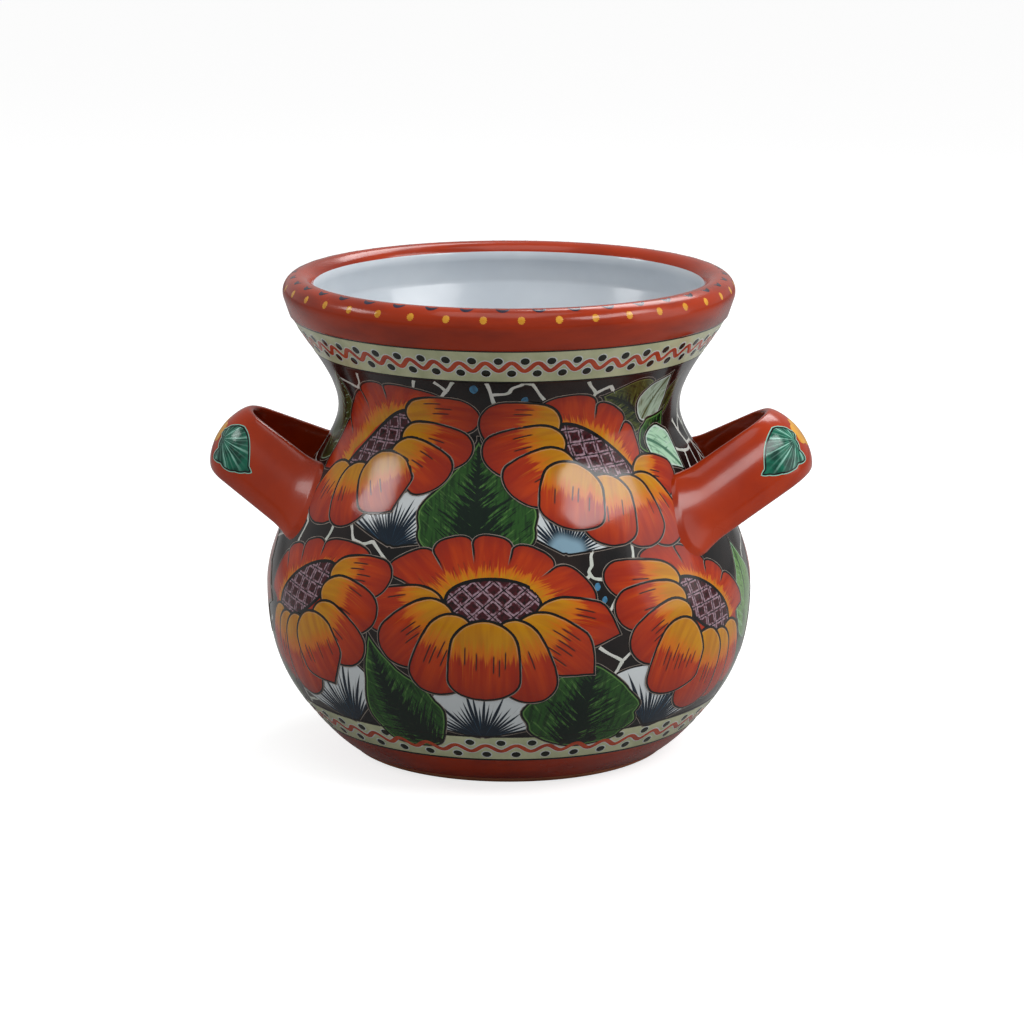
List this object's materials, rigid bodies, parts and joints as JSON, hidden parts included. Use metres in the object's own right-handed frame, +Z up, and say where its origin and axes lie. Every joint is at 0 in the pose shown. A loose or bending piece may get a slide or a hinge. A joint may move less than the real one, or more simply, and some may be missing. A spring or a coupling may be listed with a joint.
{
  "type": "planter pot",
  "caption": "Round-bellied glazed pottery planter with a drawn-in neck, a flared collar, a rolled rim and wide strap loop handles on its shoulder, open at the top over a drain hole.",
  "frame": {"origin": "centre of the foot's resting face, on the axis of the turned wall", "axes": "+Z up along the axis of the turned wall, +X along the handles, towards the higher one"},
  "size_m": [0.3168, 0.2546, 0.25],
  "materials": {
    "bare_clay": "unglazed, matte",
    "white_glaze": "gloss",
    "painted_glaze": "gloss",
    "orange_glaze": "gloss"
  },
  "bodies": {
    "root": {"foot_ring": "bare_clay", "floor_slab": "white_glaze", "floor_edge": "painted_glaze", "base_wall": "painted_glaze", "belly_wall": "painted_glaze", "shoulder_wall": "painted_glaze", "neck_wall": "painted_glaze", "collar_wall": "painted_glaze", "rim_roll": "orange_glaze", "handle_right": "orange_glaze", "handle_left": "orange_glaze"}
  },
  "joints": []
}
